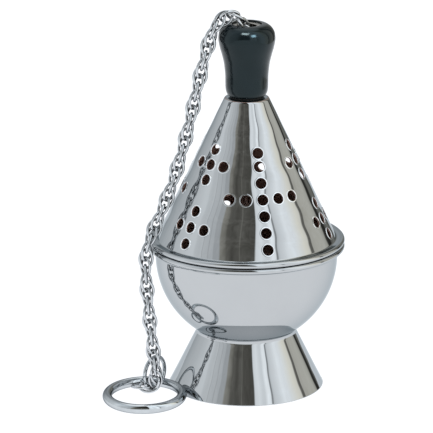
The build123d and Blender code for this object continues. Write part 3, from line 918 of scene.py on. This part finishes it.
# Brightness of the studio's panels, by compass angle in degrees from the camera's side towards +X.
STUDIO_LEFT = [
    (-180, 0.60), (-168, 0.45), (-157, 0.58), (-146, 0.70), (-133, 0.76), (-114, 0.81), (-98, 0.90),
    (-85, 1.01), (-79, 1.01), (-76, 0.90), (-70, 0.85), (-66, 0.90), (-65, 0.62), (-64, 0.82),
    (-56, 0.78), (-55, 0.58), (-54, 0.76), (-48, 0.74), (-47, 0.62), (-39, 0.62), (-37, 0.36),
    (-30, 0.27), (-28, 0.19), (-21, 0.13), (-11, 0.145), (-10, 0.15), (-9, 0.26), (-8, 0.15), (0, 0.135),
]
STUDIO_RIGHT = [
    (0, 0.135), (12, 0.115), (14, 1.15), (21, 1.29), (27, 1.12), (31, 1.10), (36, 1.48), (41, 1.36),
    (42, 0.45), (44, 0.40), (45, 0.90), (48, 1.03), (56, 1.17), (63, 1.37), (72, 1.30), (87, 1.18),
    (94, 1.06), (96, 0.20), (100, 0.18), (101, 0.64), (109, 0.71), (122, 0.75), (129, 0.62),
    (131, 0.05), (136, 0.04), (140, 0.26), (145, 0.33), (152, 0.20), (158, 0.32), (180, 0.60),
]
OVERHEAD_TILT = math.radians(20.0)
OVERHEAD_EDGE = math.radians(26.0)
OVERHEAD_FULL = math.radians(16.0)
OVERHEAD_WHITE = (1.25, 1.28, 1.30, 1.0)
STRIP_WHITE = (1.0, 1.05, 1.07, 1.0)


def studio_tint(angle, level):
    """Bright panels are cool; the dark ones, and those far to the right, are warmer."""
    if level < 0.4 or 85 < angle < 145:
        return level, level * 0.98, level * 0.88
    return level * 0.955, level, level * 1.035


def panels(graph, compass, stops):
    """Brightness of the panels round one half of the compass, as a colour ramp."""
    first = stops[0][0]
    part = graph.value("DIVIDE", graph.value("SUBTRACT", compass, first), 180.0)
    return graph.ramp(part, [((angle - first) / 180.0, studio_tint(angle, level)) for angle, level in stops])


def upright_panels(graph, x, y, z):
    """The grey panels that stand round the table, with folds in them and a white strip below."""
    compass = graph.value("DEGREES", graph.value("ARCTAN2", x, graph.value("MULTIPLY", y, -1.0)))
    to_the_right = graph.value("GREATER_THAN", compass, 0.0)
    flat = graph.mix(to_the_right, panels(graph, compass, STUDIO_LEFT), panels(graph, compass, STUDIO_RIGHT))
    # Folds show in a dark panel, and a panel is darker still high up.
    folds = graph.noise(1.0, stretch=(9.0, 9.0, 30.0))
    depth = graph.value("ADD", graph.value("MULTIPLY", folds, 0.6), 0.7)
    high_up = graph.value("MULTIPLY", graph.span(z, 0.66, 0.84, course="SMOOTHSTEP"), 0.8)
    folded = graph.node("ShaderNodeGamma")
    graph.plug(flat, folded.inputs["Color"])
    graph.plug(graph.value("ADD", high_up, depth), folded.inputs["Gamma"])
    # In front, the panels stand above a low white strip.
    strip = graph.value("SUBTRACT", graph.value("MULTIPLY", y, -0.6), 0.43)
    above = graph.span(graph.value("SUBTRACT", z, strip), 0.0, 0.02, course="SMOOTHSTEP")
    return graph.mix(above, STRIP_WHITE, folded.outputs[0])


def add_world():
    """Soft studio: upright pale and dark panels round the table, white overhead and down at the table."""
    world = bpy.data.worlds.new("studio")
    bpy.context.scene.world = world
    world.use_nodes = True
    graph = Graph(world.node_tree, "Generated")
    direction = graph.node("ShaderNodeSeparateXYZ")
    graph.plug(graph.place, direction.inputs[0])
    x, y, z = direction.outputs
    rise = graph.value("ADD", graph.value("MULTIPLY", y, math.sin(OVERHEAD_TILT)),
                       graph.value("MULTIPLY", z, math.cos(OVERHEAD_TILT)))
    overhead = graph.span(rise, math.cos(OVERHEAD_EDGE), math.cos(OVERHEAD_FULL), course="SMOOTHSTEP")
    studio = graph.mix(overhead, upright_panels(graph, x, y, z), OVERHEAD_WHITE)
    is_seen = graph.node("ShaderNodeLightPath").outputs["Is Camera Ray"]
    backdrop = graph.mix(is_seen, studio, (1.0, 1.0, 1.0, 1.0))
    graph.plug(backdrop, graph.tree.nodes["Background"].inputs["Color"])


def add_area(name, place, target, size, power, colour, only):
    """Soft rectangular light that looks at a point and is flagged off everything but one piece."""
    data = bpy.data.lights.new(name, "AREA")
    data.shape = "RECTANGLE"
    data.size, data.size_y = size
    data.energy = power
    data.color = colour
    light = bpy.data.objects.new(name, data)
    bpy.context.scene.collection.objects.link(light)
    light.location = place
    light.rotation_euler = (Vector(target) - Vector(place)).to_track_quat("-Z", "Y").to_euler()
    flags = bpy.data.collections.new(name + "_flags")
    flags.objects.link(only)
    light.light_linking.receiver_collection = flags


def add_lights(knob):
    """Two overhead boxes that make the glints on the knob."""
    head = (0.0, 0.0, KNOB_HIGH[2])
    add_area("top_left", (-0.12, -0.58, 1.42), head, (0.52, 0.40), 10.0, (1.0, 1.0, 1.0), knob)
    add_area("top_right", (0.56, -0.84, 1.12), head, (0.36, 0.40), 8.5, (0.66, 0.86, 1.0), knob)


# ---- build --------------------------------------------------------------------------------------
add_camera()
make_chain()
make_foot()
make_bowl()
make_cover()
knob = make_knob()
finish_cad_nodes()
add_floor()
add_world()
add_lights(knob)
bpy.context.scene.view_settings.view_transform = "Standard"
